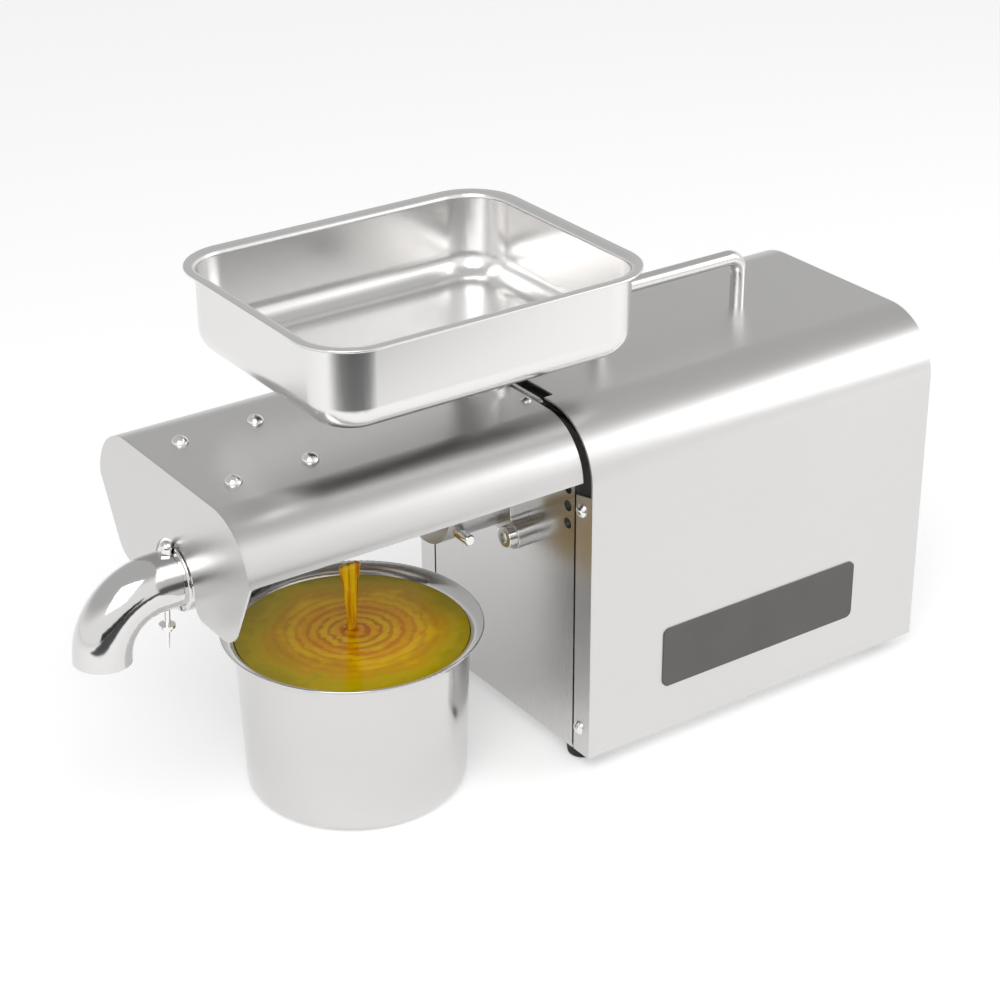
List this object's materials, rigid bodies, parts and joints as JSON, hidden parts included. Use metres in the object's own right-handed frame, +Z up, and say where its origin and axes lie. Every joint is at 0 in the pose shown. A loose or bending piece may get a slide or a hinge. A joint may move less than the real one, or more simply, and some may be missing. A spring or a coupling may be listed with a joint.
{
  "type": "screw oil press",
  "caption": "Countertop screw press that squeezes oil from seeds: steel housing, hooded press barrel, feed tray, residue elbow and an oil pot below.",
  "frame": {"origin": "on the floor under the middle of the overall box", "axes": "+X along the press axis from the residue elbow to the rear of the housing, -Y towards the side with the plate, +Z up"},
  "size_m": [0.5172, 0.1708, 0.2943],
  "materials": {
    "brushed_stainless": "satin brushed stainless sheet",
    "polished_stainless": "bright polished stainless steel",
    "machined_steel": "turned steel, slightly darkened by heat and oil",
    "tool_steel": "hardened steel, ground",
    "screw_steel": "bright zinc or stainless fasteners",
    "zinc_steel": "zinc-plated sheet",
    "black_steel": "black paint",
    "cast_aluminium": "cast aluminium",
    "dark_plate": "dark grey satin plate with a thin light border",
    "black_rubber": "matte",
    "black_plastic": "fine matte moulding",
    "rocker_plastic": "semi-gloss moulding",
    "board_laminate": "laminate",
    "component_plastic": "moulded component cases"
  },
  "bodies": {
    "machine": {"outer_shell": "brushed_stainless", "front_panel": "polished_stainless", "chassis_plate": "black_steel", "base_plate": "zinc_steel", "rear_panel": "brushed_stainless", "rubber_feet": "black_rubber", "foot_screws": "screw_steel", "carry_handle": "polished_stainless", "handle_nuts": "screw_steel", "label_plate": "dark_plate", "housing_screws": "screw_steel", "hood_shell": "brushed_stainless", "hood_end_plate": "brushed_stainless", "hood_saddle_bracket": "zinc_steel", "hood_rear_bracket": "polished_stainless", "hood_screws": "screw_steel", "hood_rear_screws": "screw_steel", "feed_housing": "machined_steel", "feed_housing_screws": "screw_steel", "feed_throat": "machined_steel", "press_barrel": "machined_steel", "nozzle_cap": "machined_steel", "barrel_heater": "cast_aluminium", "heater_thermostat": "black_plastic", "residue_elbow": "polished_stainless", "elbow_bolt": "screw_steel", "elbow_nut": "screw_steel", "gearbox_housing": "cast_aluminium", "output_bearing": "tool_steel", "motor_housing": "black_steel", "motor_screws": "screw_steel", "motor_cradle": "zinc_steel", "power_inlet": "black_plastic", "drive_switch_bezel": "black_plastic", "heater_switch_bezel": "black_plastic", "control_board": "board_laminate", "board_components": "component_plastic", "board_bracket": "zinc_steel"},
    "press_drive": {"press_screw": "tool_steel", "gearbox_output_shaft": "tool_steel"},
    "motor_rotor": {"motor_shaft": "tool_steel", "cooling_fan": "black_plastic"},
    "tray": {"feed_tray": "polished_stainless"},
    "pot": {"oil_pot": "polished_stainless"},
    "locking_pin": {"barrel_locking_pin": "screw_steel"},
    "drive_rocker": {"drive_switch_rocker": "rocker_plastic"},
    "heater_rocker": {"heater_switch_rocker": "rocker_plastic"}
  },
  "joints": [
    {"name": "press_screw_turn", "type": "hinge", "parent": "machine", "child": "press_drive", "pos_m": [0, 0, 0.1545], "axis": [1, 0, 0], "continuous": true},
    {"name": "motor_turn", "type": "hinge", "parent": "machine", "child": "motor_rotor", "pos_m": [0, 0, 0.0885], "axis": [1, 0, 0], "continuous": true},
    {"name": "tray_lift", "type": "slide", "parent": "machine", "child": "tray", "axis": [0, 0, 1], "range_m": [0, 0.06]},
    {"name": "pot_slide", "type": "slide", "parent": "machine", "child": "pot", "axis": [0, -1, 0], "range_m": [0, 0.18]},
    {"name": "pin_pull", "type": "slide", "parent": "machine", "child": "locking_pin", "axis": [0, -1, 0], "range_m": [0, 0.06]},
    {"name": "drive_rocker_tilt", "type": "hinge", "parent": "machine", "child": "drive_rocker", "pos_m": [0.25138, 0.024, 0.062], "axis": [0, 1, 0], "range_deg": [-9, 9]},
    {"name": "heater_rocker_tilt", "type": "hinge", "parent": "machine", "child": "heater_rocker", "pos_m": [0.25138, 0.056, 0.062], "axis": [0, 1, 0], "range_deg": [-18, 0]}
  ],
  "couplings": [
    {"joint": "motor_turn", "follows": "press_screw_turn", "ratio": 20}
  ]
}
